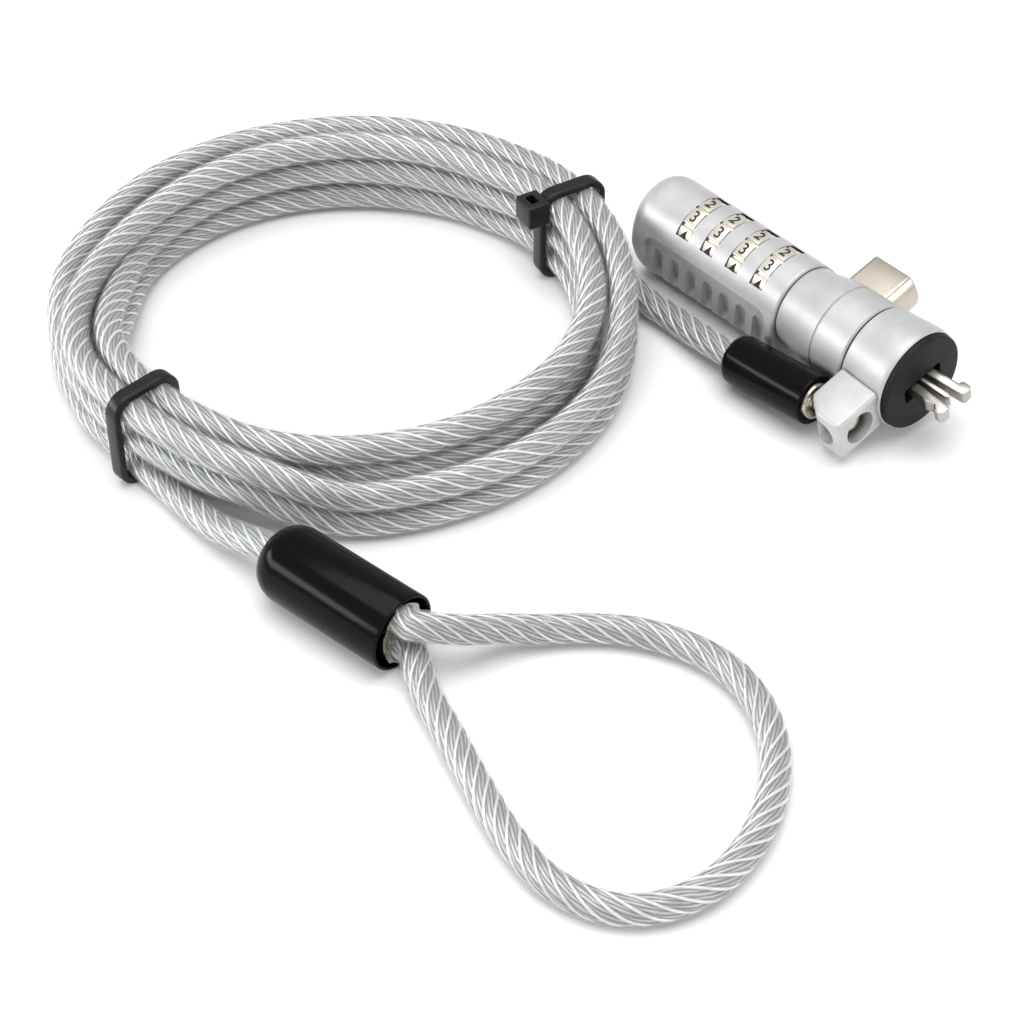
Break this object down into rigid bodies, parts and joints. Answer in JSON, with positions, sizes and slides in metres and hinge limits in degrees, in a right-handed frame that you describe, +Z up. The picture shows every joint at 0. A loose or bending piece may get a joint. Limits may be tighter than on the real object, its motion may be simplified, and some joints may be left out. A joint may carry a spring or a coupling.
{
  "type": "laptop cable lock",
  "caption": "Four-dial laptop cable lock: silver barrel with expanding jaws and push button, ball-swivel lug, coiled plastic-coated steel cable with an eye loop",
  "frame": {"origin": "on the floor under the centre of the lock head's own bounding box (cable, coil, ties and fittings left out)", "axes": "+X along the barrel toward the jaws, +Y to the push-button side, +Z up"},
  "size_m": [0.1703, 0.1207, 0.0189],
  "materials": {
    "satin_silver": "satin silver lacquer over die-cast zinc",
    "dial_nickel": "nickel-plated brass with black numerals",
    "champagne_nickel": "bright warm nickel plate",
    "brass": "turned brass",
    "jaw_steel": "satin hardened steel",
    "spring_steel": "spring steel",
    "black_rubber": "matte black rubber",
    "ferrule_nickel": "crimped nickel-plated sleeve",
    "black_vinyl": "glossy black dipped vinyl",
    "black_nylon": "satin black nylon",
    "coated_cable": "galvanised steel strands under a clear vinyl jacket"
  },
  "bodies": {
    "cable": {"cable_coil": "coated_cable", "cable_lead": "coated_cable", "cable_lead_out": "coated_cable", "cable_loop": "coated_cable", "cable_tie_right": "black_nylon", "cable_tie_left": "black_nylon", "lock_sleeve": "black_vinyl", "lock_ferrule": "ferrule_nickel", "swivel_ball": "ferrule_nickel", "loop_sleeve": "black_vinyl", "loop_ferrule": "ferrule_nickel"},
    "collar": {"swivel_collar": "satin_silver"},
    "head": {"barrel_shell": "satin_silver", "bottom_cover": "satin_silver", "rear_cap": "satin_silver", "reset_screw": "champagne_nickel", "neck_housing": "satin_silver", "face_pad": "black_rubber", "jaw_pin_right": "jaw_steel", "jaw_pin_left": "jaw_steel", "spindle_spring": "spring_steel", "detent_spring": "spring_steel"},
    "dial_1_wheel": {"dial_1": "dial_nickel", "code_sleeve_1": "brass"},
    "dial_2_wheel": {"dial_2": "dial_nickel", "code_sleeve_2": "brass"},
    "dial_3_wheel": {"dial_3": "dial_nickel", "code_sleeve_3": "brass"},
    "dial_4_wheel": {"dial_4": "dial_nickel", "code_sleeve_4": "brass"},
    "button": {"push_button": "champagne_nickel"},
    "latch": {"latch_slider": "jaw_steel", "spindle": "jaw_steel", "centre_blade": "jaw_steel"},
    "right_jaw": {"jaw_right": "jaw_steel"},
    "left_jaw": {"jaw_left": "jaw_steel"}
  },
  "joints": [
    {"name": "cable_pivot", "type": "hinge", "parent": "cable", "child": "collar", "pos_m": [0.0207, -0.00997, 0.00681], "axis": [0, 0.2588, -0.9659], "range_deg": [0, 90]},
    {"name": "head_swivel", "type": "hinge", "parent": "collar", "child": "head", "pos_m": [0.0264, 0.00194, 0.01026], "axis": [1, 0, 0], "range_deg": [-120, 120]},
    {"name": "dial_1_turn", "type": "hinge", "parent": "head", "child": "dial_1_wheel", "pos_m": [-0.02167, 0.00154, 0.01176], "axis": [1, 0, 0], "continuous": true},
    {"name": "dial_2_turn", "type": "hinge", "parent": "head", "child": "dial_2_wheel", "pos_m": [-0.01602, 0.00154, 0.01176], "axis": [1, 0, 0], "continuous": true},
    {"name": "dial_3_turn", "type": "hinge", "parent": "head", "child": "dial_3_wheel", "pos_m": [-0.01027, 0.00154, 0.01176], "axis": [1, 0, 0], "continuous": true},
    {"name": "dial_4_turn", "type": "hinge", "parent": "head", "child": "dial_4_wheel", "pos_m": [-0.00457, 0.00154, 0.01176], "axis": [1, 0, 0], "continuous": true},
    {"name": "button_push", "type": "slide", "parent": "head", "child": "button", "axis": [0, -0.9659, -0.2588], "range_m": [0, 0.0025], "stiffness_N_per_m": 300, "springref_m": -0.003},
    {"name": "latch_slide", "type": "slide", "parent": "head", "child": "latch", "axis": [-1, 0, 0], "range_m": [0, 0.0025], "deforming": ["spindle_spring"]},
    {"name": "jaw_right_pivot", "type": "hinge", "parent": "head", "child": "right_jaw", "pos_m": [0.0199, 0.00387, 0.01078], "axis": [0, 0.2588, -0.9659], "range_deg": [0, 3.5]},
    {"name": "jaw_left_pivot", "type": "hinge", "parent": "head", "child": "left_jaw", "pos_m": [0.0199, 0.00001, 0.00975], "axis": [0, -0.2588, 0.9659], "range_deg": [0, 3.5]}
  ],
  "couplings": [
    {"joint": "latch_slide", "follows": "button_push", "ratio": 1},
    {"joint": "jaw_right_pivot", "follows": "button_push", "rad_per_m": 24.4},
    {"joint": "jaw_left_pivot", "follows": "button_push", "rad_per_m": 24.4}
  ]
}
